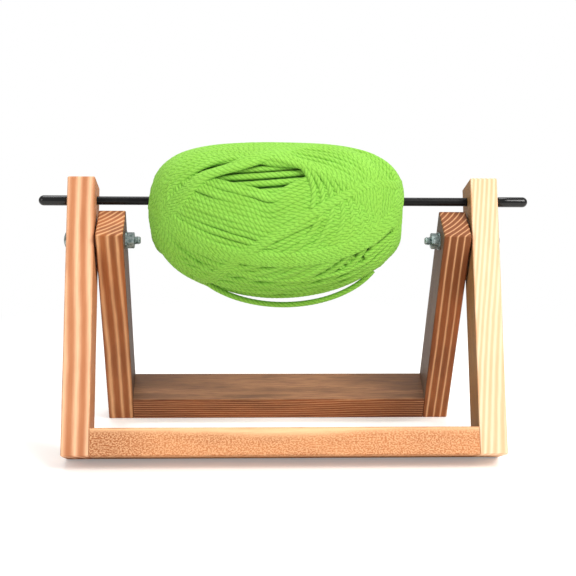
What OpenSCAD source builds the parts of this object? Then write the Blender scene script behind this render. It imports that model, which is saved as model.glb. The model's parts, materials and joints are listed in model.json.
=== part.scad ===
// Rotating yarn holder. Two U-frames of scorched pine fold on a pair of carriage bolts,
// and a steel rod across the top of the taller frame carries a ball of yarn that turns.
// Lengths are in millimetres. X runs along the rod, Y points to the back and Z is up.
// The origin is on the floor, in the middle of the feet.

/* [Timber] */
// Width over the two front uprights
frame_w = 300; // [260:1:400]
// Thickness of every stick, seen from the front
stick_w = 19; // [16:0.5:22]
// Depth of every stick, from its front face to its rear face
stick_d = 31; // [26:0.5:34]
// Length of a front upright above the pivot
front_above = 42; // [38:0.5:60]
// Length of a front upright below the pivot
front_below = 151; // [135:0.5:190]
// Length of a rear upright above the pivot
rear_above = 15; // [10:0.5:17]
// Lean of the front frame, with its feet towards the viewer
front_lean = 21.8; // [16:0.1:28]
// Lean of the rear frame, with its feet towards the back
rear_lean = 26.1; // [18:0.1:32]
// Chamfer on the timber's edges
edge_ease = 0.8; // [0.3:0.1:1.5]
// Diameter of the dowels in the corner joints
dowel_d = 6; // [4:0.5:8]
// Length of a dowel
dowel_len = 29; // [22:0.5:40]
// Part of a dowel that sits in the upright
dowel_in_upright = 9.5; // [7:0.5:12]
// Distance between the two dowels of a joint
dowel_pitch = 15; // [12:0.5:17]

/* [Pivot] */
// Diameter of the carriage bolts
bolt_d = 6; // [5:0.5:7]
// Diameter of the domed bolt head
head_d = 14.5; // [12:0.5:18]
// Height of the domed bolt head
head_h = 3.3; // [2.6:0.1:4.5]
// Straight rim under the dome
head_rim = 0.6; // [0.3:0.1:1.2]
// Length of the square neck in the timber
neck_len = 4; // [3:0.5:8]
// Width of the nut across its flats
nut_w = 10; // [9:0.5:12]
// Height of the nut
nut_h = 5; // [3.5:0.5:7]
// Diameter of the washers
washer_d = 12.5; // [11:0.5:16]
// Thickness of the washers
washer_t = 1.2; // [0.8:0.1:2]
// Thread that stands out past the nut
thread_past = 4.2; // [1:0.1:10]

/* [Rod] */
// Diameter of the rod
rod_d = 6; // [5:0.1:7]
// Distance of the rod above the pivot, along the front upright
rod_above = 28.6; // [27:0.1:33]
// Outer diameter of the end caps
cap_d = 7.2; // [6.8:0.1:9]
// Length of the end caps
cap_len = 21; // [12:0.5:30]
// Thickness of a cap's closed end, past the rod
cap_end = 2.6; // [2.2:0.1:5]
// Gap between the left cap and the left upright
left_play = 0.7; // [0.4:0.1:4]
// Gap between the right cap and the right upright
right_play = 3.4; // [0.4:0.1:6]

/* [Yarn] */
// Gap along the rod between the bolts and the nearer end of the ball
ball_room = 4; // [2:0.5:20]
// Depth of the ball from front to back
ball_dep = 106; // [90:1:110]
// Height of the ball
ball_high = 111; // [96:1:116]
// Distance of the ball's middle below the rod
ball_drop = 14; // [8:0.5:18]
// Distance of the ball's middle to the left of the holder's middle
ball_left = 4; // [0:0.5:8]
// How square the ball's shoulders are above its middle, where 2 is round
shoulder = 3.4; // [2:0.1:4]
// Diameter of a strand as it lies on the ball
strand_d = 4.8; // [4.3:0.1:6.5]
// Gap between neighbouring strands, which closes to a third of this where they part or dip
strand_gap = 1.85; // [1.6:0.05:3]
// Diameter of the loose strand under the ball
loose_d = 4; // [3:0.1:4.4]
// Distance of the loose strand's lowest point below the rod
loose_drop = 73; // [72:0.5:78]

/* [Hidden] */
$fn = 64;
// Clearance round a bolt, a dowel or a cap, on the radius
fit_gap = 0.05;
// Clearance round the rod where it turns, on the radius
rod_gap = 0.09;
// Clearance along the pivot between timber that turns and what is beside it
turn_gap = 0.2;
// Chamfer on the ends of the rod and the bolts, and on the corners of the nuts
end_ease = 0.6;
// How far a cutting shape runs out past a face
past = 1;
// Room past each end of a dowel
dowel_room = 0.5;
foot_d = stick_d / 2 - edge_ease;
pivot_z = front_below * cos(front_lean) + foot_d * sin(front_lean);
rear_below = (pivot_z - foot_d * sin(rear_lean)) / cos(rear_lean);
front_reach = (front_below - edge_ease) * sin(front_lean) + stick_d / 2 * cos(front_lean);
rear_reach = (rear_below - edge_ease) * sin(rear_lean) + stick_d / 2 * cos(rear_lean);
pivot_y = (front_reach - rear_reach) / 2;
rod_y = pivot_y + rod_above * sin(front_lean);
rod_z = pivot_z + rod_above * cos(front_lean);

side_gap = washer_t + turn_gap;
front_inner = frame_w / 2 - stick_w;
rear_outer = front_inner - side_gap;
rear_inner = rear_outer - stick_w;
// The square neck is a little wider than the shank, and the washers are loose on it
neck_w = bolt_d + turn_gap;
washer_bore = bolt_d + 2 * turn_gap;
bolt_end = rear_inner - turn_gap - washer_t - nut_h - thread_past;

rod_left = -frame_w / 2 - left_play - cap_len + cap_end;
rod_right = frame_w / 2 + right_play + cap_len - cap_end;

// The ball fills the length between the bolts
ball_len = 2 * (bolt_end - ball_left - ball_room);
// A point on a unit sphere goes to a point on the ball, inset from its skin.
ball_half = [ball_len, ball_dep, ball_high] / 2;
ball_mid = [-ball_left, 0, -ball_drop];
// Depth that the strands press into the core
press = 0.6;
// Rings in a turn of the winding, and sides of its tube
turn_rings = 24;
turn_sides = 6;
// Rows and columns of facets on the core
core_rows = 14;
core_cols = 32;
// Sides of the loose strand's tube
loose_sides = 8;
// Angle between turns seen from the middle of the ball, over the span that the turns cover
wind_span = 166;
least_half = min(ball_half.y, ball_half.z) - strand_d / 2;
wind_turns = floor(wind_span / (2 * asin((strand_d + strand_gap) / least_half / 2)));
turn_step = wind_span / wind_turns;
// Angle on the ball where the rod comes out of each end
exit_high = ball_drop / ball_half.z;
exit_angle = atan2(exit_high, pow(1 - pow(exit_high, shoulder), 1 / shoulder));
// Slope of the turns, at which the rod comes out between two turns at both ends
turns_between = 3;
wind_slope = turn_step * (turns_between - 0.5) / 2;
// Turns part round the rod by this angle, and close up again over the next few turns
rod_clear = 0.7;
part_room = rod_d / 2 + rod_clear + strand_d / 2;
part_angle = asin(part_room / (ball_half.z - strand_d / 2)) - turn_step / 2;
part_fade = 18;
part_wide = 28;
// The turns dip in a valley across the front of the ball, by this angle and over this width
dip_angle = 12;
dip_wide = 42;
// Latitude of the first turn, which puts the right end of the rod midway between two turns
right_exit = exit_angle - wind_slope;
left_exit = exit_angle + wind_slope;
wind_start = right_exit - turn_step * (round((right_exit + wind_span / 2) / turn_step - 0.5) + 0.5);

// The loose strand hangs along an ellipse about this point, seen from the rod's middle, from end to end
loose_mid = [0.5, -8, -30];
loose_half = [70, loose_drop + loose_mid.z];
loose_swing = 65;
loose_steps = 16;
loose_path = [
    for (i = [0:loose_steps]) let (a = loose_swing * (2 * i / loose_steps - 1))
    loose_mid + [loose_half.x * sin(a), 0, -loose_half.y * cos(a)]
];

// Each frame has its own axes: origin on the pivot, Z up along its sticks.
module in_front_frame() {
    translate([0, pivot_y, pivot_z]) rotate([-front_lean, 0, 0]) children();
}
module in_rear_frame() {
    translate([0, pivot_y, pivot_z]) rotate([rear_lean, 0, 0]) children();
}
module on_rod() {
    translate([0, rod_y, rod_z]) children();
}
// The left side is the right side turned over, and side is -1 or 1.
module on_side(side) {
    if (side < 0) mirror([1, 0, 0]) children();
    else children();
}

// Rectangle with its corners cut by the ease, about its centre
module eased_rect(x, y) {
    polygon([
        for (a = [0:3]) let (
            sx = a == 0 || a == 3 ? 1 : -1,
            sy = a < 2 ? 1 : -1,
            cut_x = [sx * (x / 2 - edge_ease), sy * y / 2],
            cut_y = [sx * x / 2, sy * (y / 2 - edge_ease)]
        )
        for (p = a % 2 == 0 ? [cut_y, cut_x] : [cut_x, cut_y]) p
    ]);
}
// Upright stick from z0 to z1, with all twelve edges eased
module upright_stick(z0, z1) {
    length = z1 - z0;
    translate([0, 0, (z0 + z1) / 2]) intersection() {
        linear_extrude(length, center = true) eased_rect(stick_w, stick_d);
        rotate([90, 0, 0]) linear_extrude(stick_d, center = true) eased_rect(stick_w, length);
        rotate([0, 90, 0]) linear_extrude(stick_w, center = true) eased_rect(length, stick_d);
    }
}
// Crossbar between two uprights, with only its long edges eased
module crossbar(inner, below) {
    difference() {
        translate([0, 0, stick_w / 2 - below]) rotate([0, 90, 0])
            linear_extrude(2 * inner, center = true) eased_rect(stick_w, stick_d);
        for (side = [-1, 1]) on_side(side) joint_holes(inner, below);
    }
}
module along_x(d, x0, x1) {
    translate([x0, 0, 0]) rotate([0, 90, 0]) cylinder(d = d, h = x1 - x0);
}
// The two dowels of a corner joint, across the face at x = inner
module joint_dowels(inner, below) {
    for (y = [-1, 1] * dowel_pitch / 2) translate([0, y, stick_w / 2 - below])
        along_x(dowel_d, inner - dowel_len + dowel_in_upright, inner + dowel_in_upright);
}
module joint_holes(inner, below) {
    for (y = [-1, 1] * dowel_pitch / 2) translate([0, y, stick_w / 2 - below])
        along_x(
            dowel_d + 2 * fit_gap,
            inner - dowel_len + dowel_in_upright - dowel_room,
            inner + dowel_in_upright + dowel_room
        );
}

module front_upright(side) {
    in_front_frame() on_side(side) difference() {
        translate([front_inner + stick_w / 2, 0, 0]) upright_stick(-front_below, front_above);
        along_x(bolt_d + 2 * fit_gap, front_inner - past, frame_w / 2 + past);
        translate([frame_w / 2 - neck_len / 2, 0, 0])
            cube([neck_len + 2 * fit_gap, neck_w + 2 * fit_gap, neck_w + 2 * fit_gap], center = true);
        translate([0, 0, rod_above]) along_x(rod_d + 2 * rod_gap, front_inner - past, frame_w / 2 + past);
        joint_holes(front_inner, front_below);
    }
}
module rear_upright(side) {
    in_rear_frame() on_side(side) difference() {
        translate([rear_inner + stick_w / 2, 0, 0]) upright_stick(-rear_below, rear_above);
        along_x(bolt_d + 2 * fit_gap, rear_inner - past, rear_outer + past);
        joint_holes(rear_inner, rear_below);
    }
}

// Carriage bolt from outside: dome, rim, square neck and round shank
module carriage_bolt(side) {
    dome_h = head_h - head_rim;
    dome_r = (pow(head_d / 2, 2) + pow(dome_h, 2)) / (2 * dome_h);
    shank = frame_w / 2 - bolt_end;
    in_front_frame() on_side(side) translate([frame_w / 2, 0, 0]) union() {
        rotate([0, 90, 0]) rotate_extrude() {
            intersection() {
                translate([0, head_h - dome_r]) circle(r = dome_r);
                square([head_d / 2, head_h + past]);
            }
            polygon([
                [0, 0], [0, -shank], [bolt_d / 2 - end_ease, -shank],
                [bolt_d / 2, end_ease - shank], [bolt_d / 2, 0]
            ]);
        }
        translate([-neck_len / 2, 0, 0]) cube([neck_len, neck_w, neck_w], center = true);
    }
}
module washer(x0) {
    difference() {
        along_x(washer_d, x0, x0 + washer_t);
        along_x(washer_bore, x0 - past, x0 + washer_t + past);
    }
}
// Hexagon nut with both faces chamfered on the corners
module hex_nut(x0) {
    corner_d = nut_w / cos(30);
    face_d = corner_d - 2 * end_ease;
    wide_d = face_d + 4 * nut_h;
    difference() {
        translate([x0, 0, 0]) rotate([0, 90, 0]) intersection() {
            cylinder(d = corner_d, h = nut_h, $fn = 6);
            cylinder(d1 = face_d, d2 = wide_d, h = nut_h);
            cylinder(d1 = wide_d, d2 = face_d, h = nut_h);
        }
        along_x(bolt_d + 2 * fit_gap, x0 - past, x0 + nut_h + past);
    }
}
module spacer_washer(side) {
    in_front_frame() on_side(side) washer(front_inner - washer_t);
}
module nut_washer(side) {
    in_front_frame() on_side(side) washer(rear_inner - turn_gap - washer_t);
}
module pivot_nut(side) {
    in_front_frame() on_side(side) hex_nut(rear_inner - turn_gap - washer_t - nut_h);
}

// Rod with both ends chamfered
module rod() {
    on_rod() union() {
        along_x(rod_d, rod_left + end_ease, rod_right - end_ease);
        translate([rod_left, 0, 0]) rotate([0, 90, 0])
            cylinder(d1 = rod_d - 2 * end_ease, d2 = rod_d, h = end_ease);
        translate([rod_right - end_ease, 0, 0]) rotate([0, 90, 0])
            cylinder(d1 = rod_d, d2 = rod_d - 2 * end_ease, h = end_ease);
    }
}
// Round-nosed push-on cap, drawn for the right end, with the rod's end at x = rod_end
module cap(rod_end) {
    tip = rod_end + cap_end;
    difference() {
        union() {
            along_x(cap_d, tip - cap_len, tip - cap_d / 2);
            translate([tip - cap_d / 2, 0, 0]) sphere(d = cap_d);
        }
        along_x(rod_d + 2 * fit_gap, tip - cap_len - past, rod_end + fit_gap);
    }
}

function unit(v) = v / norm(v);
function sum_of(list) = list * [for (x = list) 1];
// Place on the ball for a direction s, inset from the skin, measured from the rod's middle
function on_ball(s, inset) =
    let (
        n = s.z > 0 ? shoulder : 2,
        level = norm([s.x, s.y]),
        k = pow(pow(level, n) + pow(abs(s.z), n), -1 / n)
    )
    ball_mid + k * [(ball_half.x - inset) * s.x, (ball_half.y - inset) * s.y, (ball_half.z - inset) * s.z];

// How far a turn at this latitude moves away from the rod, near longitude at
function part(lat, lon, exit_lat, at) =
    let (
        off = lat - exit_lat,
        round_by = abs((lon - at + 540) % 360 - 180),
        near = exp(-pow(round_by / part_wide, 2)) * exp(-max(0, abs(off) - turn_step / 2) / part_fade)
    )
    part_angle * near * (off < 0 ? -1 : 1);
// Direction of the winding after u turns from the bottom
function turn_dir(u) =
    let (
        lon = (360 * u) % 360,
        base = wind_start + turn_step * u,
        dip = dip_angle * cos(base) * exp(-pow((lon - 270) / dip_wide, 2)),
        lat = base + part(base, lon, right_exit, 0) + part(base, lon, left_exit, 180) - dip,
        v = [cos(lat) * cos(lon), cos(lat) * sin(lon), sin(lat)]
    )
    [v.x * cos(wind_slope) - v.z * sin(wind_slope), v.y, v.x * sin(wind_slope) + v.z * cos(wind_slope)];
function turn_point(u) = on_ball(turn_dir(u), strand_d / 2);

// Radius of the bends at the winding's ends, in strand diameters
bend_ratio = 0.65;
// Bend that takes an end of the winding square into the core, from p on the ball. The turn
// leaves p along t, and n points out of the ball.
function end_bend(p, t, n) =
    let (r = bend_ratio * strand_d)
    concat(
        [for (deep = [1, 0.5]) p - r * (n + t) - deep * strand_d * n],
        [for (a = [0, 30, 60]) p - r * n + r * (sin(a) * n - cos(a) * t)]
    );
function reversed(list) = [for (i = [len(list) - 1:-1:0]) list[i]];

wind_turn_points = [for (i = [0:wind_turns * turn_rings]) turn_point(i / turn_rings)];
wind_last = len(wind_turn_points) - 1;
function outward(p) = unit([for (i = [0:2]) (p - ball_mid)[i] / pow(ball_half[i], 2)]);
wind_path = concat(
    end_bend(
        wind_turn_points[0],
        unit(wind_turn_points[1] - wind_turn_points[0]),
        outward(wind_turn_points[0])
    ),
    wind_turn_points,
    reversed(end_bend(
        wind_turn_points[wind_last],
        unit(wind_turn_points[wind_last - 1] - wind_turn_points[wind_last]),
        outward(wind_turn_points[wind_last])
    ))
);

// Distance from point p to the stretch from a to b
function to_stretch(p, a, b) =
    let (k = min(1, max(0, (p - a) * (b - a) / ((b - a) * (b - a)))))
    norm(p - a - k * (b - a));
wind_gap = min([
    for (i = [0:wind_last]) for (j = [i + turn_rings / 2:i + turn_rings * 3 / 2]) if (j < wind_last)
        to_stretch(wind_turn_points[i], wind_turn_points[j], wind_turn_points[j + 1])
]) - strand_d;
rod_room = min([
    for (i = [1:wind_last]) let (
        a = wind_turn_points[i - 1],
        b = wind_turn_points[i]
    )
    to_stretch([0, 0], [a.y, a.z], [b.y, b.z])
]) - strand_d / 2 - rod_d / 2;
echo(least_gap_between_turns = wind_gap, least_gap_to_rod = rod_room);
echo(turns = wind_turns, pivot_back = pivot_y, pivot_height = pivot_z, rod_back = rod_y, rod_height = rod_z);
echo(rear_upright_below_pivot = rear_below);
echo(bolt_length = frame_w / 2 - bolt_end, rod_length = rod_right - rod_left);
echo(loose_length = sum_of([for (i = [1:loose_steps]) norm(loose_path[i] - loose_path[i - 1])]));

// One unbroken tube along a path, carried without twist
module tube(path, d, sides) {
    last = len(path) - 1;
    along = [for (i = [0:last]) unit(path[min(i + 1, last)] - path[max(i - 1, 0)])];
    side_0 = abs(along[0].y) < 0.9 ? [0, 1, 0] : [0, 0, 1];
    across = [
        for (i = 0, c = unit(side_0 - (side_0 * along[0]) * along[0]); i <= last;
            i = i + 1, c = i <= last ? unit(c - (c * along[i]) * along[i]) : c) c
    ];
    points = [
        for (i = [0:last]) for (k = [0:sides - 1]) let (a = 360 * k / sides)
            path[i] + d / 2 * (cos(a) * across[i] + sin(a) * cross(along[i], across[i]))
    ];
    walls = [
        for (i = [0:last - 1]) for (k = [0:sides - 1]) let (
            a = i * sides + k,
            b = i * sides + (k + 1) % sides
        )
        for (f = [[a, b + sides, b], [a, a + sides, b + sides]]) f
    ];
    ends = [[for (k = [0:sides - 1]) k], [for (k = [sides - 1:-1:0]) last * sides + k]];
    polyhedron(points, concat(walls, ends), convexity = 12);
}
// Closed skin of the ball, in rows from the bottom up
module ball_solid(inset, rows, cols) {
    points = concat(
        [on_ball([0, 0, -1], inset)],
        [
            for (r = [1:rows - 1]) for (c = [0:cols - 1]) let (
                lat = -90 + 180 * r / rows,
                lon = 360 * c / cols
            )
            on_ball([cos(lat) * cos(lon), cos(lat) * sin(lon), sin(lat)], inset)
        ],
        [on_ball([0, 0, 1], inset)]
    );
    top = len(points) - 1;
    faces = concat(
        [for (c = [0:cols - 1]) [0, 1 + c, 1 + (c + 1) % cols]],
        [
            for (r = [0:rows - 3]) for (c = [0:cols - 1]) let (
                a = 1 + r * cols + c,
                b = 1 + r * cols + (c + 1) % cols
            )
            for (f = [[a, b + cols, b], [a, a + cols, b + cols]]) f
        ],
        [for (c = [0:cols - 1]) [top, top - cols + (c + 1) % cols, top - cols + c]]
    );
    polyhedron(points, faces, convexity = 4);
}

module front_left_upright() { color("#c98a55") front_upright(-1); }
module front_right_upright() { color("#e9bd92") front_upright(1); }
module front_crossbar() { color("#b87a48") in_front_frame() crossbar(front_inner, front_below); }
module front_joint_dowels() {
    color("#dcb98a") in_front_frame() for (side = [-1, 1]) on_side(side)
        joint_dowels(front_inner, front_below);
}
module rear_left_upright() { color("#c08250") rear_upright(-1); }
module rear_right_upright() { color("#b97d4d") rear_upright(1); }
module rear_crossbar() { color("#a96c3e") in_rear_frame() crossbar(rear_inner, rear_below); }
module rear_joint_dowels() {
    color("#dcb98a") in_rear_frame() for (side = [-1, 1]) on_side(side)
        joint_dowels(rear_inner, rear_below);
}
module left_pivot_bolt() { color("#9aa4a6") carriage_bolt(-1); }
module right_pivot_bolt() { color("#9aa4a6") carriage_bolt(1); }
module left_spacer_washer() { color("#aab2b4") spacer_washer(-1); }
module right_spacer_washer() { color("#aab2b4") spacer_washer(1); }
module left_nut_washer() { color("#aab2b4") nut_washer(-1); }
module right_nut_washer() { color("#aab2b4") nut_washer(1); }
module left_pivot_nut() { color("#8d9799") pivot_nut(-1); }
module right_pivot_nut() { color("#8d9799") pivot_nut(1); }
module spindle_rod() { color("#1a1a1c") rod(); }
module left_rod_cap() { color("#0c0c0d") on_rod() mirror([1, 0, 0]) cap(-rod_left); }
module right_rod_cap() { color("#0c0c0d") on_rod() cap(rod_right); }
module yarn_core() {
    color("#3f8a1f") on_rod() difference() {
        ball_solid(strand_d - press, core_rows, core_cols);
        along_x(rod_d + 2 * rod_gap, -ball_len, ball_len);
    }
}
module yarn_winding() { color("#6cc234") on_rod() tube(wind_path, strand_d, turn_sides); }
module loose_strand() { color("#6cc234") on_rod() tube(loose_path, loose_d, loose_sides); }

front_left_upright();
front_right_upright();
front_crossbar();
front_joint_dowels();
rear_left_upright();
rear_right_upright();
rear_crossbar();
rear_joint_dowels();
left_pivot_bolt();
right_pivot_bolt();
left_spacer_washer();
right_spacer_washer();
left_nut_washer();
right_nut_washer();
left_pivot_nut();
right_pivot_nut();
spindle_rod();
left_rod_cap();
right_rod_cap();
yarn_core();
yarn_winding();
loose_strand();
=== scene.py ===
import json
import math

import bmesh
import bpy
import numpy as np
from mathutils import Matrix, Vector, kdtree


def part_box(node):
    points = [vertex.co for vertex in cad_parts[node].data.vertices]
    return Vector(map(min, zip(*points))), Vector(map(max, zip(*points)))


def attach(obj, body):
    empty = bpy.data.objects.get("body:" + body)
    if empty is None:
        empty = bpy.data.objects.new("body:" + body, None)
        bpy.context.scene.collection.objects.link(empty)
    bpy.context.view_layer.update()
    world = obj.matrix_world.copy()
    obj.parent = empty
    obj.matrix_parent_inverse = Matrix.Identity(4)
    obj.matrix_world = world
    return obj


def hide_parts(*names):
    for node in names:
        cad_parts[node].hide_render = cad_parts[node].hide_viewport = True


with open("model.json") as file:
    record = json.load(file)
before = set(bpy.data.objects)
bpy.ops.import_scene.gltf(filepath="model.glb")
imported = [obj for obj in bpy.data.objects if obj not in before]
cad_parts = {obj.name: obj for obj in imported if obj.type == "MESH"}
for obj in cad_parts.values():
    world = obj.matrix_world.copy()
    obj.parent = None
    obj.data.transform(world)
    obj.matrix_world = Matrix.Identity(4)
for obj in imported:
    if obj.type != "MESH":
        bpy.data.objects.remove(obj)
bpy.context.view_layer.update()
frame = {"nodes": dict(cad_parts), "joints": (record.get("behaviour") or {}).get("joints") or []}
nodes = frame["nodes"]
joints = {j["name"]: j for j in frame["joints"]}

MM = 0.001
PIVOT = Vector(joints["fold"]["pos_m"])
ROD = Vector(joints["ball_spin"]["pos_m"])
# Lean of the two frames, and half the width and depth of their sticks in millimetres
FRONT_LEAN = math.radians(21.8)
REAR_LEAN = math.radians(-26.1)
STICK_HALF = 9.5
STICK_DEEP = 15.5


# Camera, at the height and turn of the photograph

def place_camera():
    data = bpy.data.cameras.new("camera")
    data.sensor_width = 36
    data.lens = 78.54
    data.clip_start = 0.01
    yaw, pitch, roll = (math.radians(a) for a in (2.62, 10.82, 0.55))
    ahead = Vector((math.sin(yaw) * math.cos(pitch), math.cos(yaw) * math.cos(pitch), -math.sin(pitch)))
    level = Vector((math.cos(yaw), -math.sin(yaw), 0))
    upright = level.cross(ahead)
    right = level * math.cos(roll) + upright * math.sin(roll)
    up = upright * math.cos(roll) - level * math.sin(roll)
    camera = bpy.data.objects.new("camera", data)
    camera.matrix_world = Matrix.Translation((-0.03642, -0.87985, 0.27902)) @ Matrix(
        (right, up, -ahead)).transposed().to_4x4()
    bpy.context.scene.collection.objects.link(camera)
    bpy.context.scene.camera = camera


place_camera()


# Shared helpers for materials

def paint(code):
    """Linear colour of a six-digit colour code."""
    parts = [int(code[i:i + 2], 16) / 255 for i in (0, 2, 4)]
    return [p / 12.92 if p <= 0.04045 else ((p + 0.055) / 1.055) ** 2.4 for p in parts] + [1]


def add(tree, kind, settings=None, **sockets):
    """New node. A socket is named with _ for a space, or in_0, in_1 by its number."""
    node = tree.nodes.new(kind)
    for key, value in (settings or {}).items():
        setattr(node, key, value)
    for key, value in sockets.items():
        number = key.startswith("in_")
        socket = node.inputs[int(key[3:])] if number else node.inputs[key.replace("_", " ")]
        if isinstance(value, bpy.types.NodeSocket):
            tree.links.new(value, socket)
        else:
            socket.default_value = value
    return node


def sums(tree, operation, *values):
    """Output of a math node on one, two or three values."""
    return add(tree, "ShaderNodeMath", {"operation": operation},
               **{"in_%d" % i: v for i, v in enumerate(values)}).outputs[0]


def spread(tree, value, low, high, to_low=0.0, to_high=1.0, smooth=True):
    """Value moved from one range to another, and held at its ends."""
    kind = "SMOOTHSTEP" if smooth else "LINEAR"
    return add(tree, "ShaderNodeMapRange", {"interpolation_type": kind},
               Value=value, From_Min=low, From_Max=high, To_Min=to_low, To_Max=to_high).outputs[0]


def blend_colours(tree, amount, first, second, how="MIX"):
    node = add(tree, "ShaderNodeMix", {"data_type": "RGBA", "blend_type": how, "clamp_factor": True})
    for socket, value in ((node.inputs[0], amount), (node.inputs[6], first), (node.inputs[7], second)):
        if isinstance(value, bpy.types.NodeSocket):
            tree.links.new(value, socket)
        else:
            socket.default_value = value
    return node.outputs[2]


def scaled(tree, vector, by):
    return add(tree, "ShaderNodeVectorMath", {"operation": "MULTIPLY"}, in_0=vector, in_1=by).outputs[0]


def noise(tree, vector, scale=1.0, detail=2.0, roughness=0.5):
    return add(tree, "ShaderNodeTexNoise", Vector=vector, Scale=scale, Detail=detail,
               Roughness=roughness).outputs["Fac"]


def new_group(name, inputs, outputs):
    """Empty shader group. Inputs are (name, kind, value) and outputs (name, kind)."""
    group = bpy.data.node_groups.new(name, "ShaderNodeTree")
    for label, kind, value in inputs:
        socket = group.interface.new_socket(label, in_out="INPUT", socket_type="NodeSocket" + kind)
        if value is not None:
            socket.default_value = value
    for label, kind in outputs:
        group.interface.new_socket(label, in_out="OUTPUT", socket_type="NodeSocket" + kind)
    return group, group.nodes.new("NodeGroupInput").outputs, group.nodes.new("NodeGroupOutput").inputs


def use_group(tree, group, **sockets):
    return add(tree, "ShaderNodeGroup", {"node_tree": group}, **sockets).outputs


def new_material(name):
    material = bpy.data.materials.new(name)
    material.use_nodes = True
    tree = material.node_tree
    shader = tree.nodes["Principled BSDF"]
    return material, tree, shader


def dress(piece, material):
    piece.data.materials.clear()
    piece.data.materials.append(material)


# Wood

def make_ring_group():
    """Growth rings about a pith, which may run aslant, as pale lines between darker bands."""
    group, got, put = new_group("growth rings", [
        ("Place", "Vector", None), ("Pith", "Vector", None), ("Slant", "Vector", None),
        ("Pitch", "Float", 4.0), ("Phase", "Float", 0.0), ("Sway", "Float", 1.0),
        ("Sharpness", "Float", 3.0)], [("Pale Line", "Float"), ("Ring", "Float")])
    place = got["Place"]
    parts = add(group, "ShaderNodeSeparateXYZ", Vector=place).outputs
    slant = add(group, "ShaderNodeSeparateXYZ", Vector=got["Slant"]).outputs
    pith = add(group, "ShaderNodeSeparateXYZ", Vector=got["Pith"]).outputs
    long_sway = noise(group, scaled(group, place, (0.03, 0.03, 0.011)), 1, 2, 0.4)
    short_sway = noise(group, scaled(group, place, (0.25, 0.25, 0.05)), 1, 3, 0.6)
    across = [
        sums(group, "SUBTRACT", sums(group, "MULTIPLY_ADD", parts[2], slant[i], parts[i]), pith[i])
        for i in (0, 1)]
    radius = sums(group, "SQRT", sums(group, "ADD", sums(group, "MULTIPLY", across[0], across[0]),
                                      sums(group, "MULTIPLY", across[1], across[1])))
    radius = sums(group, "MULTIPLY_ADD", sums(group, "SUBTRACT", long_sway, 0.5),
                  sums(group, "MULTIPLY", got["Sway"], 4.0), radius)
    radius = sums(group, "MULTIPLY_ADD", sums(group, "SUBTRACT", short_sway, 0.5),
                  sums(group, "MULTIPLY", got["Sway"], 0.9), radius)
    ring = sums(group, "DIVIDE", sums(group, "SUBTRACT", radius, got["Phase"]), got["Pitch"])
    wave = sums(group, "COSINE", sums(group, "MULTIPLY", ring, math.tau))
    line = sums(group, "POWER", sums(group, "MULTIPLY_ADD", wave, 0.5, 0.5), got["Sharpness"])
    group.links.new(line, put["Pale Line"])
    group.links.new(sums(group, "FLOOR", sums(group, "ADD", ring, 0.5)), put["Ring"])
    return group


def make_fibre_group():
    """Fine fibres along a stick, and the blotches that a flame leaves between them."""
    group, got, put = new_group("wood fibre", [("Place", "Vector", None)],
                                [("Fibre", "Float"), ("Blotch", "Float"), ("Speck", "Float")])
    fine = noise(group, scaled(group, got["Place"], (2.6, 2.6, 0.06)), 1, 3, 0.65)
    blotch = noise(group, scaled(group, got["Place"], (0.06, 0.06, 0.016)), 1, 3, 0.55)
    speck = noise(group, scaled(group, got["Place"], (1.1, 1.1, 0.75)), 1, 2, 0.6)
    group.links.new(spread(group, fine, 0.3, 0.7), put["Fibre"])
    group.links.new(spread(group, blotch, 0.32, 0.68), put["Blotch"])
    group.links.new(spread(group, speck, 0.4, 0.62), put["Speck"])
    return group


def make_edge_group():
    """Masks on a stick: near its long edges, and on each of its two side faces."""
    group, got, put = new_group("stick faces", [
        ("Place", "Vector", None), ("Half Width", "Float", STICK_HALF), ("Half Depth", "Float", STICK_DEEP),
        ("Reach", "Float", 0.9)], [("Edge", "Float"), ("Low Side", "Float"), ("High Side", "Float")])
    parts = add(group, "ShaderNodeSeparateXYZ", Vector=got["Place"]).outputs
    rough = sums(group, "MULTIPLY_ADD", noise(group, scaled(group, got["Place"], (0.5, 0.5, 0.12)), 1, 3, 0.6),
                 1.6, -0.8)
    from_side = sums(group, "SUBTRACT", got["Half Width"], sums(group, "ABSOLUTE", parts[0]))
    from_face = sums(group, "SUBTRACT", got["Half Depth"], sums(group, "ABSOLUTE", parts[1]))
    nearest = sums(group, "ADD", sums(group, "MAXIMUM", from_side, from_face), rough)
    group.links.new(spread(group, nearest, got["Reach"], sums(group, "MULTIPLY", got["Reach"], 0.2)), put["Edge"])
    edge = sums(group, "SUBTRACT", got["Half Width"], 0.45)
    group.links.new(spread(group, sums(group, "MULTIPLY", parts[0], -1.0), edge, got["Half Width"]), put["Low Side"])
    group.links.new(spread(group, parts[0], edge, got["Half Width"]), put["High Side"])
    return group


ring_group = make_ring_group()
fibre_group = make_fibre_group()
edge_group = make_edge_group()


def stick_place(tree, lean, middle, lying):
    """Place in a stick's own millimetres: x across, y from front to back, z along it."""
    turn = Matrix.Rotation(lean, 3, "X")
    if lying:
        turn = Matrix(((0, 0, 1), (0, 1, 0), (-1, 0, 0))) @ turn
    shift = -(turn @ (PIVOT / MM)) - Vector(middle)
    where = add(tree, "ShaderNodeTexCoord").outputs["Object"]
    return add(tree, "ShaderNodeMapping", Vector=where, Location=shift,
               Rotation=turn.to_euler("XYZ"), Scale=(1 / MM,) * 3).outputs[0]


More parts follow.
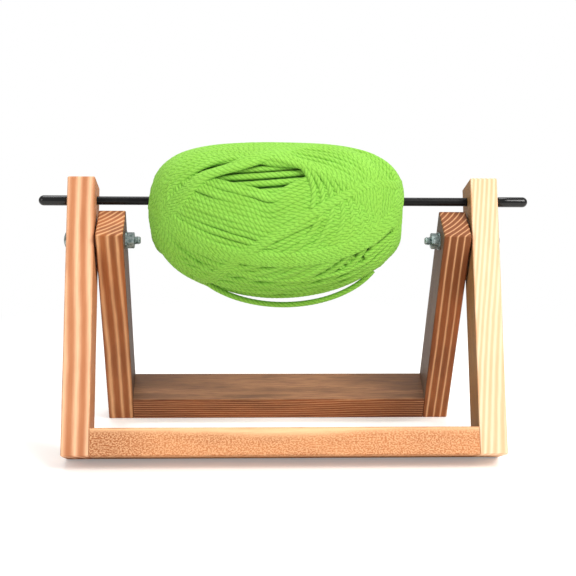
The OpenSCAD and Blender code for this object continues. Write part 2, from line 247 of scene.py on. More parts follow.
def pine(name, lean, middle, lying=False, pith=(-40, 6, 0), slant=(0, 0, 0), pitch=4.0, phase=0.0, sway=1.0,
         sharpness=3.0, band="b9744a", line="f4c097", burnt="6e3a1c", fibre=0.25, blotch=0.4, speck=0.0,
         low_side=None, high_side=None, ends=(0, 0, 0, 0), end_burn=0.0, edge=0.5):
    """Scorched pine. Ends are the two stretches along the stick over which the flame has darkened it."""
    material, tree, shader = new_material(name)
    place = stick_place(tree, lean, middle, lying)
    rings = use_group(tree, ring_group, Place=place, Pith=pith, Slant=slant, Pitch=pitch, Phase=phase,
                      Sway=sway, Sharpness=sharpness)
    fibres = use_group(tree, fibre_group, Place=place)
    faces = use_group(tree, edge_group, Place=place)
    along = add(tree, "ShaderNodeSeparateXYZ", Vector=place).outputs[2]

    colour = blend_colours(tree, rings["Pale Line"], paint(band), paint(line))
    if low_side:
        tint = blend_colours(tree, fibres["Fibre"], paint(low_side[0]), paint(low_side[1]))
        colour = blend_colours(tree, faces["Low Side"], colour, tint)
    if high_side:
        tint = blend_colours(tree, fibres["Fibre"], paint(high_side[0]), paint(high_side[1]))
        colour = blend_colours(tree, faces["High Side"], colour, tint)
    scorch = sums(tree, "MULTIPLY", fibres["Blotch"], blotch)
    if end_burn:
        flame = sums(tree, "MAXIMUM", spread(tree, along, ends[1], ends[0]), spread(tree, along, ends[2], ends[3]))
        scorch = sums(tree, "MAXIMUM", scorch, sums(tree, "MULTIPLY", flame, end_burn))
    not_line = sums(tree, "MULTIPLY_ADD", rings["Pale Line"], -0.75, 1.0)
    scorch = sums(tree, "MULTIPLY", scorch, not_line)
    colour = blend_colours(tree, scorch, colour, paint(burnt))
    if speck:
        dots = sums(tree, "MULTIPLY", sums(tree, "MULTIPLY", fibres["Speck"], not_line), speck)
        colour = blend_colours(tree, dots, colour, paint(line))
    colour = blend_colours(tree, sums(tree, "MULTIPLY", fibres["Fibre"], fibre), colour, paint(burnt), "MIX")
    colour = blend_colours(tree, sums(tree, "MULTIPLY", faces["Edge"], edge), colour, paint(burnt))
    tree.links.new(colour, shader.inputs["Base Color"])
    tree.links.new(spread(tree, fibres["Fibre"], 0, 1, 0.5, 0.68), shader.inputs["Roughness"])
    relief = sums(tree, "MULTIPLY_ADD", fibres["Fibre"], 0.35, sums(tree, "MULTIPLY", rings["Pale Line"], 0.9))
    bump = add(tree, "ShaderNodeBump", Strength=0.35, Distance=0.0002, Height=relief)
    tree.links.new(bump.outputs[0], shader.inputs["Normal"])
    shader.inputs["Specular IOR Level"].default_value = 0.3
    return material


front_side = 140.5
rear_side = 120.1
dress(nodes["front_left_upright"], pine(
    "left front pine", FRONT_LEAN, (-front_side, 0, 0), pith=(-40, 6, 0), slant=(0.008, 0, 0), pitch=7.3, phase=44.5,
    sway=1.1, sharpness=1.5, band="c58258", line="f9c59c", burnt="9a5630", fibre=0.22, blotch=0.3,
    high_side=("a8683f", "c98d62"), ends=(-151, -105, 60, 60), end_burn=0.35, edge=0.45))
dress(nodes["front_right_upright"], pine(
    "right front pine", FRONT_LEAN, (front_side, 0, 0), pith=(60, 70, 0), slant=(-0.14, 0.03, 0), pitch=1.9,
    sway=0.5, sharpness=1.3, band="f3c096", line="fbdcb8", burnt="cf8f60", fibre=0.16, blotch=0.22,
    low_side=("5f3e26", "94703c"), ends=(-200, -190, -20, 60), end_burn=0.3, edge=0.3))
dress(nodes["front_crossbar"], pine(
    "front bar pine", FRONT_LEAN, (-141.5, 0, 0), lying=True, pith=(-9, 60, 0), slant=(0.004, 0, 0), pitch=4.55,
    phase=0.2, sway=0.45, sharpness=4, band="c97f4c", line="ffcf9d", burnt="8c4a22", fibre=0.2, blotch=0.35,
    speck=0.55, ends=(-300, -290, 70, 125), end_burn=0.75, edge=0.35))
dress(nodes["rear_left_upright"], pine(
    "left rear pine", REAR_LEAN, (-rear_side, 0, 0), pith=(-42, 47, 0), slant=(0.012, 0, 0), pitch=3.7, phase=1.0,
    sway=0.5, sharpness=2.6, band="ad6534", line="e9af7c", burnt="5b2f14", fibre=0.25, blotch=0.5,
    high_side=("3f2f25", "6b5341"), ends=(-155, -80, 200, 210), end_burn=0.3, edge=0.5))
dress(nodes["rear_right_upright"], pine(
    "right rear pine", REAR_LEAN, (rear_side, 0, 0), pith=(-52, 42, 0), slant=(-0.006, 0, 0), pitch=3.5, phase=0.6,
    sway=0.35, sharpness=6, band="a9602f", line="f0b583", burnt="4c260f", fibre=0.25, blotch=0.5,
    low_side=("5b4638", "86705f"), ends=(-400, -390, -70, 0), end_burn=0.55, edge=0.45))
dress(nodes["rear_crossbar"], pine(
    "rear bar pine", REAR_LEAN, (-145.5, 0, 0), lying=True, pith=(-70, 10, 0), slant=(0.01, 0, 0), pitch=2.1,
    sway=1.0, sharpness=2.2, band="9c5429", line="cf8f60", burnt="3a2114", fibre=0.3, blotch=0.5,
    high_side=("75492e", "c48e63"), ends=(-120, -40, 30, 115), end_burn=0.6, edge=0.3))


def dowel_material():
    material, tree, shader = new_material("dowel beech")
    place = add(tree, "ShaderNodeTexCoord").outputs["Object"]
    fibre = noise(tree, scaled(tree, place, (60, 1500, 1500)), 1, 3, 0.6)
    tree.links.new(blend_colours(tree, fibre, paint("b98a5c"), paint("e0bb8c")), shader.inputs["Base Color"])
    tree.links.new(spread(tree, fibre, 0, 1, 0.55, 0.75), shader.inputs["Roughness"])
    return material


beech = dowel_material()
for name in ("front_joint_dowels", "rear_joint_dowels"):
    dress(nodes[name], beech)


# Pivot hardware

def zinc_material():
    """Zinc plate, dulled and slightly blue-green, with darker dirt in the hollows of its noise."""
    material, tree, shader = new_material("dull zinc")
    place = add(tree, "ShaderNodeTexCoord").outputs["Object"]
    cloud = noise(tree, place, 420, 4, 0.6)
    scratch = noise(tree, scaled(tree, place, (300, 2600, 2600)), 1, 3, 0.7)
    colour = blend_colours(tree, spread(tree, cloud, 0.35, 0.65), paint("5f7370"), paint("a9b6b4"))
    tree.links.new(colour, shader.inputs["Base Color"])
    tree.links.new(spread(tree, scratch, 0.2, 0.8, 0.28, 0.5), shader.inputs["Roughness"])
    bump = add(tree, "ShaderNodeBump", Strength=0.25, Distance=0.00005, Height=scratch)
    tree.links.new(bump.outputs[0], shader.inputs["Normal"])
    shader.inputs["Metallic"].default_value = 0.9
    return material


zinc = zinc_material()


def turned(bm, outline, steps=48):
    """Full turn of an outline of (x, radius) points about the x axis."""
    verts = [bm.verts.new((x, 0, r)) for x, r in outline]
    edges = [bm.edges.new(pair) for pair in zip(verts, verts[1:])]
    bmesh.ops.spin(bm, geom=verts + edges, cent=(0, 0, 0), axis=(1, 0, 0), dvec=(0, 0, 0),
                   angle=math.tau, steps=steps, use_merge=True, use_duplicate=False)
    bmesh.ops.remove_doubles(bm, verts=bm.verts, dist=1e-6)


def finish_piece(name, bm, body, material, smooth=35, replaces=()):
    """Makes an object of a bmesh at its place, rounds its shading and lets it ride on a body."""
    bmesh.ops.recalc_face_normals(bm, faces=bm.faces)
    mesh = bpy.data.meshes.new(name)
    bm.to_mesh(mesh)
    bm.free()
    piece = bpy.data.objects.new(name, mesh)
    bpy.context.scene.collection.objects.link(piece)
    mesh.shade_smooth()
    if smooth:
        mesh.set_sharp_from_angle(angle=math.radians(smooth))
    dress(piece, material)
    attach(piece, body)
    if replaces:
        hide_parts(*replaces)
    return piece


# Carriage bolt in millimetres. Its head bears on the outer face of the front frame
BOLT_FACE = -150.0
HEAD_R = 7.25
HEAD_RIM = 0.6
SHANK_R = 3.0
ROOT_R = 2.45
CREST_R = 2.95
NECK_WIDE = 6.2
NECK_LONG = 4.0
THREAD_LONG = 24.0
THREAD_PITCH = 1.0
THREAD_TURNS = 22


def bolt_outline(head, tip):
    """Outline of head and shank as (x, radius) points, from the top of the dome to the thread's end."""
    rise = BOLT_FACE - head - HEAD_RIM
    dome_r = (HEAD_R ** 2 + rise ** 2) / (2 * rise)
    widest = math.asin(HEAD_R / dome_r)
    dome = [(head + dome_r * (1 - math.cos(a)), dome_r * math.sin(a)) for a in np.linspace(0, widest, 9)]
    rim = [(BOLT_FACE - 0.45, HEAD_R + 0.05), (BOLT_FACE - 0.15, HEAD_R + 0.02), (BOLT_FACE, HEAD_R - 0.15)]
    shank = [(BOLT_FACE, SHANK_R), (tip - THREAD_LONG, SHANK_R), (tip - THREAD_LONG + 0.6, ROOT_R),
             (tip - 0.5, ROOT_R), (tip, ROOT_R - 0.45), (tip, 0.0)]
    return dome + rim + shank


def add_thread(bm, start, steps=16):
    """Ridge of the rolled thread, carried round and along the shank."""
    profile = ((0.0, ROOT_R - 0.1), (0.36, CREST_R), (0.5, CREST_R), (0.86, ROOT_R - 0.1))
    ridge = [bm.verts.new((start + x, 0, r)) for x, r in profile]
    edges = [bm.edges.new((ridge[i], ridge[(i + 1) % 4])) for i in range(4)]
    bm.faces.new(ridge)
    made = bmesh.ops.spin(bm, geom=ridge + edges, cent=(0, 0, 0), axis=(1, 0, 0),
                          dvec=(THREAD_PITCH / steps, 0, 0), angle=math.tau * THREAD_TURNS,
                          steps=THREAD_TURNS * steps, use_duplicate=False)
    last = [v for v in made["geom_last"] if isinstance(v, bmesh.types.BMVert)]
    bmesh.ops.contextual_create(bm, geom=last)


def carriage_bolt(side, name, node):
    """Domed head, square neck and shank. The last part of the shank has a rolled thread."""
    low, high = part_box(node)
    ends = (low.x, high.x) if side < 0 else (-high.x, -low.x)
    head, tip = ends[0] / MM, ends[1] / MM
    bm = bmesh.new()
    turned(bm, bolt_outline(head, tip))
    neck_place = Matrix.Translation((BOLT_FACE + NECK_LONG / 2, 0, 0)) @ Matrix.Rotation(-FRONT_LEAN, 4, "X")
    neck = bmesh.ops.create_cube(
        bm, size=1.0, matrix=neck_place @ Matrix.Diagonal((NECK_LONG, NECK_WIDE, NECK_WIDE, 1)))["verts"]
    bmesh.ops.bevel(bm, geom=list({e for v in neck for e in v.link_edges}), offset=0.25, segments=2,
                    profile=0.5, affect="EDGES", material=-1)
    add_thread(bm, tip - THREAD_LONG + 0.4)
    bmesh.ops.scale(bm, vec=(MM * -side, MM, MM), verts=bm.verts)
    bmesh.ops.translate(bm, vec=(0, PIVOT.y, PIVOT.z), verts=bm.verts)
    return finish_piece(name, bm, "front_frame", zinc, replaces=(node,))


carriage_bolt(-1, "left_carriage_bolt", "left_pivot_bolt")
carriage_bolt(1, "right_carriage_bolt", "right_pivot_bolt")
for name in ("left_spacer_washer", "right_spacer_washer", "left_nut_washer", "right_nut_washer",
             "left_pivot_nut", "right_pivot_nut"):
    dress(nodes[name], zinc)


# Rod and its caps

def black_material(name, dark, grey, rough, shine, coat):
    material, tree, shader = new_material(name)
    place = add(tree, "ShaderNodeTexCoord").outputs["Object"]
    cloud = noise(tree, place, 300, 3, 0.6)
    drawn = noise(tree, scaled(tree, place, (40, 2600, 2600)), 1, 3, 0.6)
    colour = blend_colours(tree, spread(tree, cloud, 0.35, 0.7), paint(dark), paint(grey))
    tree.links.new(colour, shader.inputs["Base Color"])
    tree.links.new(spread(tree, drawn, 0.2, 0.8, rough - 0.05, rough + 0.06), shader.inputs["Roughness"])
    bump = add(tree, "ShaderNodeBump", Strength=0.15, Distance=0.00004, Height=drawn)
    tree.links.new(bump.outputs[0], shader.inputs["Normal"])
    shader.inputs["Specular IOR Level"].default_value = shine
    shader.inputs["Coat Weight"].default_value = coat
    shader.inputs["Coat Roughness"].default_value = 0.12
    return material


dress(nodes["spindle_rod"], black_material("black rod", "070707", "101010", 0.32, 0.22, 0.0))
vinyl = black_material("black vinyl", "050505", "0c0c0d", 0.2, 0.35, 0.25)


def rod_cap(side, name, node, body):
    """Push-on sleeve with a round nose and a soft lip at its open end."""
    low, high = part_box(node)
    tip, lip = (high.x, low.x) if side > 0 else (-low.x, -high.x)
    tip, lip = tip / MM, lip / MM
    r, bore, floor = 3.6, 3.06, tip - 2.5
    nose = [(tip - r + r * math.sin(a), r * math.cos(a)) for a in np.linspace(0, math.pi / 2, 13)]
    nose[-1] = (tip, 0.0)
    outline = [(floor, 0.0), (floor, bore - 0.3), (floor - 0.3, bore), (lip + 0.35, bore), (lip + 0.08, bore + 0.1),
               (lip, bore + 0.27), (lip + 0.08, r - 0.12), (lip + 0.3, r), (lip + 6, r)] + nose
    bm = bmesh.new()
    turned(bm, outline, 56)
    bmesh.ops.scale(bm, vec=(MM * side, MM, MM), verts=bm.verts)
    bmesh.ops.translate(bm, vec=(0, ROD.y, ROD.z), verts=bm.verts)
    return finish_piece(name, bm, body, vinyl, 50, (node,))


rod_cap(-1, "left_cap_sleeve", "left_rod_cap", "left_cap")
rod_cap(1, "right_cap_sleeve", "right_rod_cap", "right_cap")


# Yarn

# Half sizes of the ball and its middle, in millimetres from the rod's middle
BALL_HALF = np.array((92.0, 53.0, 55.5))
BALL_MID = np.array((-4.0, 0.0, -14.0))
# How square the ball's upper shoulders are
SHOULDER = 3.4
# Strand thickness, number of plies, length of one turn of a ply, and distance between rings of the mesh
STRAND = 4.5
PLIES = 4
LAY = 14.5
STEP = 1.5
draw = np.random.default_rng(11)


def on_ball(s, inset):
    """Points for directions s from the middle of the ball, inset from its skin, from the rod's middle."""
    power = np.where(s[:, 2] > 0, SHOULDER, 2.0)
    level = np.hypot(s[:, 0], s[:, 1])
    k = (level ** power + np.abs(s[:, 2]) ** power) ** (-1 / power)
    return BALL_MID + k[:, None] * (BALL_HALF - np.reshape(inset, (-1, 1))) * s


def unit(v):
    return v / np.maximum(np.linalg.norm(v, axis=-1, keepdims=True), 1e-12)


def directions(places):
    """Unit vectors of (longitude, latitude) places on the ball. The front is at longitude 270."""
    a = np.radians(np.array(places, float))
    return np.stack([np.cos(a[:, 1]) * np.cos(a[:, 0]), np.cos(a[:, 1]) * np.sin(a[:, 0]), np.sin(a[:, 1])], 1)


def closed_loop(front, count=240):
    """Turn round the ball that runs along the front's places and goes home behind it in one plane."""
    seen = directions(front)
    middle = seen.mean(0)
    flat = np.linalg.svd(seen - middle)[2][2]
    flat = flat if flat[2] > 0 else -flat
    offset = float(np.mean(seen @ flat))
    side = unit(np.cross(flat, (0, 1.0, 0)))
    deep = np.cross(flat, side)
    angles = np.unwrap(np.arctan2(seen @ deep, seen @ side))
    turn = 1 if angles[-1] > angles[0] else -1
    rest = math.tau - abs(angles[-1] - angles[0])
    back = angles[-1] + turn * np.linspace(0, rest, 10)[1:-1]
    ring = math.sqrt(max(0.05, 1 - offset ** 2))
    behind = offset * flat + ring * (np.cos(back)[:, None] * side + np.sin(back)[:, None] * deep)
    points = np.vstack([seen, behind])
    lengths = np.linalg.norm(np.roll(points, -1, 0) - points, axis=1) ** 0.5
    knots = np.concatenate([[0], np.cumsum(lengths)])
    points = np.vstack([points[-2:], points, points[:3]])
    knots = np.concatenate([knots[:1] - lengths[-1] - lengths[-2], knots[:1] - lengths[-1], knots,
                            knots[-1:] + lengths[0], knots[-1:] + lengths[0] + lengths[1]])
    at = np.linspace(0, knots[-3], count, endpoint=False)
    i = np.clip(np.searchsorted(knots, at, side="right") - 1, 1, len(knots) - 3)
    p = [points[i + j - 1] for j in range(4)]
    t = [knots[i + j - 1][:, None] for j in range(4)]
    x = at[:, None]
    a = [(t[j + 1] - x) / (t[j + 1] - t[j]) * p[j] + (x - t[j]) / (t[j + 1] - t[j]) * p[j + 1] for j in range(3)]
    b = [(t[j + 2] - x) / (t[j + 2] - t[j]) * a[j] + (x - t[j]) / (t[j + 2] - t[j]) * a[j + 1] for j in range(2)]
    curve = (t[2] - x) / (t[2] - t[1]) * b[0] + (x - t[1]) / (t[2] - t[1]) * b[1]
    return unit(curve)


# Half width of the way through the strands for the rod
ROD_ROOM = 5.6


def clear_of_rod(points):
    """Strands that would meet the rod pass round it."""
    off = points[:, 1:]
    far = np.linalg.norm(off, axis=1)
    near_end = np.clip((np.abs(points[:, 0]) - 40) / 30, 0, 1)
    wanted = np.sqrt(far ** 2 + (ROD_ROOM * near_end) ** 2)
    moved = points.copy()
    moved[:, 1:] = off * (wanted / np.maximum(far, 1e-6))[:, None]
    return moved


laid = {"points": [], "tops": []}
# Crossing strands press into each other, and strands this close side by side still lie level
PILE = 3.5
BESIDE = 3.6
# Depth of the first layer's middle line under the skin, and the radius that a taut strand bends to
CORE_INSET = 8.2
BEND = 38.0


def old_tree():
    tree = kdtree.KDTree(max(1, len(laid["points"])))
    for i, p in enumerate(laid["points"]):
        tree.insert(p, i)
    tree.balance()
    return tree


def rise_over(points, trees):
    """Height above the core at which each point rests on the strands that lie there."""
    rest = np.zeros(len(points))
    for i, p in enumerate(points):
        for tree, tops in trees:
            for _, j, gap in tree.find_range(p, BESIDE):
                lift = tops[j] + math.sqrt(max(0.0, PILE * PILE - gap * gap))
                if lift > rest[i]:
                    rest[i] = lift
    return rest


def pull_taut(rest, first=None):
    """A strand under tension rests on the high places and bridges the low ones between them."""
    sag = STEP ** 2 / (2 * BEND)
    height = rest.copy()
    for _ in range(260):
        if first is not None:
            height[0] = first
        middle = (height[:-2] + height[2:]) / 2 - sag
        height[1:-1] = np.maximum(rest[1:-1], middle)
        height[-1] = max(rest[-1], height[-2] - sag)
    return height


def wander(count, size, reach):
    """Smooth random sway of a strand to the side."""
    knots = draw.normal(0, size, max(4, int(count * STEP / reach) + 3))
    return np.interp(np.linspace(0, len(knots) - 1, count), np.arange(len(knots)), knots)


def wind(first, last, turns, ceiling=9.0, start=0.5, stray=0.22):
    """Winds one strand from its first loop to its last, and returns its points and outward directions."""
    loops = closed_loop(first), closed_loop(last)
    count = len(loops[0])
    whole = int(turns * count)
    u = (np.arange(whole + 1) + start * count) % count
    t = np.arange(whole + 1) / whole
    low = u.astype(int) % count
    path = unit(loops[0][low] * (1 - t)[:, None] + loops[1][low] * t[:, None])
    rough = on_ball(path, CORE_INSET)
    run = np.concatenate([[0], np.cumsum(np.linalg.norm(np.diff(rough, axis=0), axis=1))])
    total = int(run[-1] / STEP)
    at = np.linspace(0, run[-1], total)
    path = unit(np.stack([np.interp(at, run, path[:, i]) for i in range(3)], 1))
    base = on_ball(path, CORE_INSET)
    ahead = unit(np.gradient(base, axis=0))
    out = unit(path / BALL_HALF)
    across = unit(np.cross(ahead, out))
    base = base + across * (wander(total, stray, 30) + wander(total, stray * 0.6, 9))[:, None]
    base = clear_of_rod(base)
    path = unit((base - BALL_MID) / BALL_HALF)
    # Each turn is laid on the turns before it, its own strand's among them
    per_turn = int(total / max(1, round(turns))) + 1
    below = (old_tree(), laid["tops"])
    heights = np.zeros(total)
    for begin in range(0, total, per_turn):
        stop = min(total, begin + per_turn)
        look = min(total, stop + 20)
        sooner = max(0, begin - 6)
        own = kdtree.KDTree(max(1, sooner))
        for i in range(sooner):
            own.insert(base[i], i)
        own.balance()
        rest = rise_over(base[begin:look], (below, (own, heights)))
        rest = ceiling * (1 - np.exp(-rest / ceiling))
        tight = pull_taut(rest, heights[begin - 1] if begin else None)
        heights[begin:stop] = tight[:stop - begin]
    laid["points"].extend(base)
    laid["tops"].extend(float(h) for h in heights)
    out = unit(path / BALL_HALF)
    return base + out * heights[:, None], out


def strand_tube(bm, uv, points, out, sides=16, size=STRAND, lobes=0.13, flat=0.94):
    """Plied strand along points. Its UV map runs along it in centimetres and once round it."""
    count = len(points)
    ahead = unit(np.gradient(points, axis=0))
    across = unit(np.cross(ahead, out))
    up = np.cross(across, ahead)
    run = np.concatenate([[0], np.cumsum(np.linalg.norm(np.diff(points, axis=0), axis=1))])
    rings = []
    angles = np.arange(sides) / sides * math.tau
    for i in range(count):
        ply = PLIES * (angles / 2 + math.pi * run[i] / LAY)
        r = size / 2 * (1 - lobes + lobes * np.abs(np.cos(ply)) ** 0.8)
        sideways = (r * np.sin(angles))[:, None] * across[i]
        ring = points[i] + sideways - (r * np.cos(angles) * flat)[:, None] * up[i]
        rings.append([bm.verts.new(p * MM + np.array(ROD)) for p in ring])
    for i in range(count - 1):
        for k in range(sides):
            j = (k + 1) % sides
            face = bm.faces.new((rings[i][k], rings[i + 1][k], rings[i + 1][j], rings[i][j]))
            for loop, (n, v) in zip(face.loops, ((i, k), (i + 1, k), (i + 1, k + 1), (i, k + 1))):
                loop[uv].uv = (run[n] / 10, v / sides)
    for ring in (rings[0], rings[-1]):
        bm.faces.new(ring)


def yarn_material():
    """Plied acrylic yarn: painted shade in the grooves between plies, hair-fine fibres along them, and a soft sheen."""
    material, tree, shader = new_material("green yarn")
    uv = add(tree, "ShaderNodeUVMap").outputs[0]
    parts = add(tree, "ShaderNodeSeparateXYZ", Vector=uv).outputs
    ply = sums(tree, "MULTIPLY", PLIES * math.pi,
               sums(tree, "MULTIPLY_ADD", parts[0], 10 / LAY, parts[1]))
    crown = sums(tree, "ABSOLUTE", sums(tree, "COSINE", ply))
    painted_groove_shade = spread(tree, crown, 0.0, 0.55, 1.0, 0.0)
    # Along and across a ply, in millimetres
    girth = math.pi * STRAND
    slope = math.atan2(girth, LAY)
    x = sums(tree, "MULTIPLY", parts[0], 10.0)
    y = sums(tree, "MULTIPLY", parts[1], girth)
    with_ply = sums(tree, "SUBTRACT", sums(tree, "MULTIPLY", x, math.cos(slope)),
                    sums(tree, "MULTIPLY", y, math.sin(slope)))
    over_ply = sums(tree, "ADD", sums(tree, "MULTIPLY", x, math.sin(slope)),
                    sums(tree, "MULTIPLY", y, math.cos(slope)))
    hair_place = add(tree, "ShaderNodeCombineXYZ", X=sums(tree, "MULTIPLY", with_ply, 0.45),
                     Y=sums(tree, "MULTIPLY", over_ply, 4.5)).outputs[0]
    hair = noise(tree, hair_place, 1, 3, 0.7)
    place = add(tree, "ShaderNodeTexCoord").outputs["Object"]
    patch = noise(tree, place, 55, 3, 0.6)
    colour = blend_colours(tree, spread(tree, hair, 0.3, 0.7), paint("6fae33"), paint("9fdb5c"))
    colour = blend_colours(tree, sums(tree, "MULTIPLY", spread(tree, patch, 0.35, 0.7), 0.25), colour, paint("86b83a"))
    # Painted shade: the colour is darkened towards a shadow green in the grooves between plies
    colour = blend_colours(tree, sums(tree, "MULTIPLY", painted_groove_shade, 0.55), colour, paint("3d7212"))
    tree.links.new(colour, shader.inputs["Base Color"])
    relief = sums(tree, "MULTIPLY_ADD", hair, 0.35, crown)
    bump = add(tree, "ShaderNodeBump", Strength=0.6, Distance=0.0004, Height=relief)
    tree.links.new(bump.outputs[0], shader.inputs["Normal"])
    shader.inputs["Roughness"].default_value = 0.85
    shader.inputs["Specular IOR Level"].default_value = 0.2
    shader.inputs["Sheen Weight"].default_value = 0.25
    shader.inputs["Sheen Roughness"].default_value = 0.4
    shader.inputs["Sheen Tint"].default_value = paint("c8f29a")
    return material


yarn = yarn_material()


def yarn_piece(name, strands, replaces=(), sides=16, size=STRAND, lobes=0.13):
    bm = bmesh.new()
    uv = bm.loops.layers.uv.new("along strand")
    for points, out in strands:
        strand_tube(bm, uv, points, out, sides, size, lobes)
    return finish_piece(name, bm, "yarn_ball", yarn, 0, replaces)


def loose_strand():
    """Hangs free under the ball, along the arc that the CAD strand has."""
    swing = np.radians(np.linspace(-65, 65, 90))
    points = np.stack([0.5 + 70 * np.sin(swing), np.full(90, -8.0), -30 - 43 * np.cos(swing)], 1)
    bm = bmesh.new()
    uv = bm.loops.layers.uv.new("along strand")
    strand_tube(bm, uv, points, np.tile((0.0, -1.0, 0.0), (90, 1)), 16, 4.1, 0.14, 1.0)
    piece = finish_piece("loose_yarn_strand", bm, "yarn_ball", yarn, 0, ("loose_strand",))


loose_strand()


def painted_shade_core():
    """Inner body of the ball, coloured dark green as painted shade, seen only in the gaps between strands."""
    bm = bmesh.new()
    bmesh.ops.create_uvsphere(bm, u_segments=96, v_segments=48, radius=1.0)
    s = unit(np.array([v.co for v in bm.verts]))
    for v, p in zip(bm.verts, clear_of_rod(on_ball(s, CORE_INSET + 1.2))):
        v.co = Vector(p * MM) + ROD
    material, tree, shader = new_material("inner yarn")
    place = add(tree, "ShaderNodeTexCoord").outputs["Object"]
    fibre = noise(tree, scaled(tree, place, (260, 700, 900)), 1, 3, 0.7)
    # Painted shade: these dark greens stand in for the shade deep in the gaps between strands
    tree.links.new(blend_colours(tree, spread(tree, fibre, 0.3, 0.7), paint("1f4206"), paint("4c8a1c")),
                   shader.inputs["Base Color"])
    shader.inputs["Roughness"].default_value = 0.9
    bump = add(tree, "ShaderNodeBump", Strength=0.6, Distance=0.0006, Height=fibre)
    tree.links.new(bump.outputs[0], shader.inputs["Normal"])
    finish_piece("yarn_shade_core", bm, "yarn_ball", material, 0, ("yarn_core",))


painted_shade_core()


def ground_layer():
    """First layer: level turns from the bottom to the top, which the others lie on."""
    turns = 27
    count = 150
    whole = turns * count
    u = np.arange(whole + 1) / count
    lat = -81 + 162 * u / turns
    lon = 360 * u + 90
    path = directions(np.stack([lon, lat], 1))
    tilt = math.radians(6)
    path = np.stack([path[:, 0] * math.cos(tilt) - path[:, 2] * math.sin(tilt), path[:, 1],
                     path[:, 0] * math.sin(tilt) + path[:, 2] * math.cos(tilt)], 1)
    base = on_ball(path, CORE_INSET)
    run = np.concatenate([[0], np.cumsum(np.linalg.norm(np.diff(base, axis=0), axis=1))])
    at = np.arange(0, run[-1], 2.2)
    base = np.stack([np.interp(at, run, base[:, i]) for i in range(3)], 1)
    base = clear_of_rod(base)
    laid["points"].extend(base)
    laid["tops"].extend([0.0] * len(base))
    return base, unit((base - BALL_MID) / BALL_HALF ** 2)


def ball_of_yarn():
    yarn_piece("yarn_ground_layer", [ground_layer()], ("yarn_winding",), 10, STRAND, 0.1)
    yarn_piece("yarn_low_right_field", [wind(
        [(250, 0), (278, -10), (297, -16), (316, -22)], [(243, -30), (272, -48), (300, -60), (332, -60)], 8)])
    front_first = [(221, 40), (235, 37), (247, 34), (258, 31), (266, 28), (276, 35), (288, 42), (302, 47), (319, 48)]
    front_middle = [(214, 16), (228, 11), (241, 6), (254, 1), (266, -4), (277, 4), (289, 12), (302, 19), (318, 26)]
    front_last = [(206, -14), (210, -34), (220, -48), (236, -60), (262, -63), (280, -48), (292, -34), (305, -14), (320, 2)]
    yarn_piece("yarn_front_field_high", [wind(front_first, front_middle, 9)])
    yarn_piece("yarn_front_field_low", [wind(front_middle, front_last, 12)])
    yarn_piece("yarn_left_end", [wind(
        [(196, 47), (204, 30), (206, 10), (205, -10), (200, -30)], [(184, 40), (186, 20), (190, 0), (192, -20), (190, -40)], 4)])
    yarn_piece("yarn_right_end", [wind(
        [(350, 56), (338, 40), (336, 24), (334, 5), (330, -12), (326, -32), (322, -52)],
        [(0, 50), (352, 34), (350, 18), (346, 2), (342, -16), (338, -34), (334, -52)], 4)])
    yarn_piece("yarn_left_shoulder", [wind(
        [(202, 6), (209, 18), (217, 30), (224, 38), (231, 46), (240, 50), (252, 51), (264, 49)],
        [(184, 24), (186, 36), (190, 48), (200, 58), (215, 65), (235, 66), (258, 62), (275, 55)], 7)])
    yarn_piece("yarn_upper_right", [wind(
        [(237, 57), (256, 52), (270, 48), (282, 41), (293, 35), (302, 29), (309, 22), (317, 13), (324, 5)],
        [(225, 70), (255, 76), (330, 82), (350, 70), (340, 58), (334, 45), (334, 32), (338, 19), (342, 4)], 9)])
    yarn_piece("yarn_top_field", [wind(
        [(184, 50), (180, 62), (160, 74), (100, 80), (40, 80), (12, 70), (4, 58)],
        [(172, 40), (165, 52), (145, 62), (100, 68), (55, 66), (25, 56), (12, 44)], 7)])
    yarn_piece("yarn_upper_bundle", [wind(
        [(200, 4), (211, 16), (221, 28), (229, 40), (242, 49), (256, 59), (280, 72), (10, 80), (12, 66), (4, 54)],
        [(204, 0), (218, 12), (225, 24), (234, 36), (248, 43), (260, 50), (284, 62), (340, 70), (358, 60), (358, 50)], 4)])
    yarn_piece("yarn_diagonal_bundle", [wind(
        [(202, -44), (222, -40), (242, -26), (255, -14), (266, -3), (278, 10), (291, 21), (307, 29), (325, 32), (352, 28)],
        [(206, -50), (224, -46), (241, -34), (254, -20), (266, -8), (278, 4), (291, 16), (306, 26), (321, 30), (340, 26)], 3)])


ball_of_yarn()


# Floor, lights and background

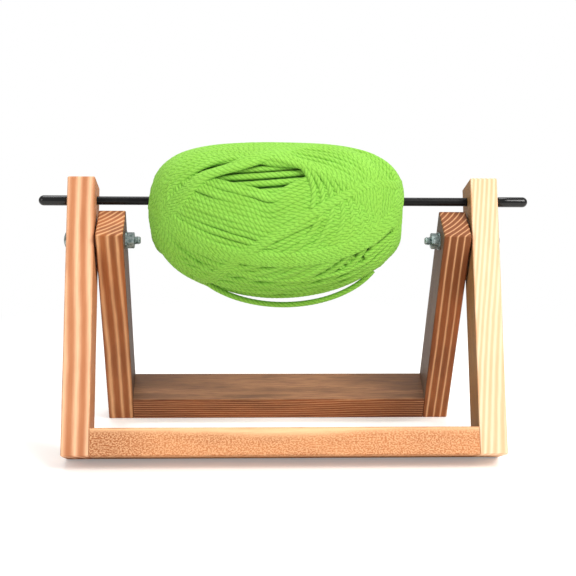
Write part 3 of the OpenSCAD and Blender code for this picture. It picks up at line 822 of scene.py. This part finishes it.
def floor_material():
    """Pale floor. The camera sees it lifted to white, and wholly white further off, with the soft shadow left."""
    material, tree, shader = new_material("white floor")
    tree.nodes.remove(shader)
    out = tree.nodes["Material Output"]
    place = add(tree, "ShaderNodeTexCoord").outputs["Object"]
    away = add(tree, "ShaderNodeVectorMath", {"operation": "LENGTH"}, in_0=place).outputs["Value"]
    far = spread(tree, away, 0.26, 0.5)
    seen = add(tree, "ShaderNodeLightPath").outputs["Is Camera Ray"]
    diffuse = add(tree, "ShaderNodeBsdfDiffuse", Color=(0.86, 0.845, 0.83, 1)).outputs[0]
    lift = add(tree, "ShaderNodeEmission", Color=(1, 1, 1, 1), Strength=0.24).outputs[0]
    white = add(tree, "ShaderNodeEmission", Color=(1, 1, 1, 1), Strength=1.0).outputs[0]
    lifted = add(tree, "ShaderNodeAddShader", in_0=diffuse, in_1=lift).outputs[0]
    near = add(tree, "ShaderNodeMixShader", in_0=seen, in_1=diffuse, in_2=lifted).outputs[0]
    fade = sums(tree, "MULTIPLY", far, seen)
    tree.links.new(add(tree, "ShaderNodeMixShader", in_0=fade, in_1=near, in_2=white).outputs[0], out.inputs["Surface"])
    return material


bm = bmesh.new()
bmesh.ops.create_grid(bm, x_segments=1, y_segments=1, size=6.0)
floor_mesh = bpy.data.meshes.new("floor")
bm.to_mesh(floor_mesh)
bm.free()
floor = bpy.data.objects.new("floor", floor_mesh)
bpy.context.scene.collection.objects.link(floor)
dress(floor, floor_material())


def soft_light(name, place, aim, size, watts, colour):
    lamp = bpy.data.lights.new(name, "AREA")
    lamp.shape = "RECTANGLE"
    lamp.size, lamp.size_y = size
    lamp.energy = watts
    lamp.color = colour
    holder = bpy.data.objects.new(name, lamp)
    holder.location = place
    holder.rotation_euler = (Vector(aim) - Vector(place)).to_track_quat("-Z", "Y").to_euler()
    bpy.context.scene.collection.objects.link(holder)


soft_light("key light", (0.75, -0.75, 1.05), (0, 0, 0.1), (0.7, 0.7), 17, (1.0, 0.985, 0.96))
soft_light("fill light", (-1.1, -0.9, 0.6), (0, 0, 0.1), (0.9, 0.9), 5, (1.0, 0.97, 0.93))
soft_light("top light", (-0.1, 0.35, 1.4), (0, 0, 0.1), (1.0, 0.6), 9, (1.0, 1.0, 1.0))


def light_the_world():
    world = bpy.context.scene.world or bpy.data.worlds.new("world")
    bpy.context.scene.world = world
    world.use_nodes = True
    tree = world.node_tree
    back = tree.nodes["Background"]
    path = add(tree, "ShaderNodeLightPath").outputs
    shown = sums(tree, "MAXIMUM", path["Is Camera Ray"], path["Is Transmission Ray"])
    strength = sums(tree, "MULTIPLY_ADD", shown, 0.45, 0.55)
    tree.links.new(strength, back.inputs["Strength"])
    back.inputs["Color"].default_value = (1, 1, 1, 1)


light_the_world()
bpy.context.scene.view_settings.view_transform = "Standard"
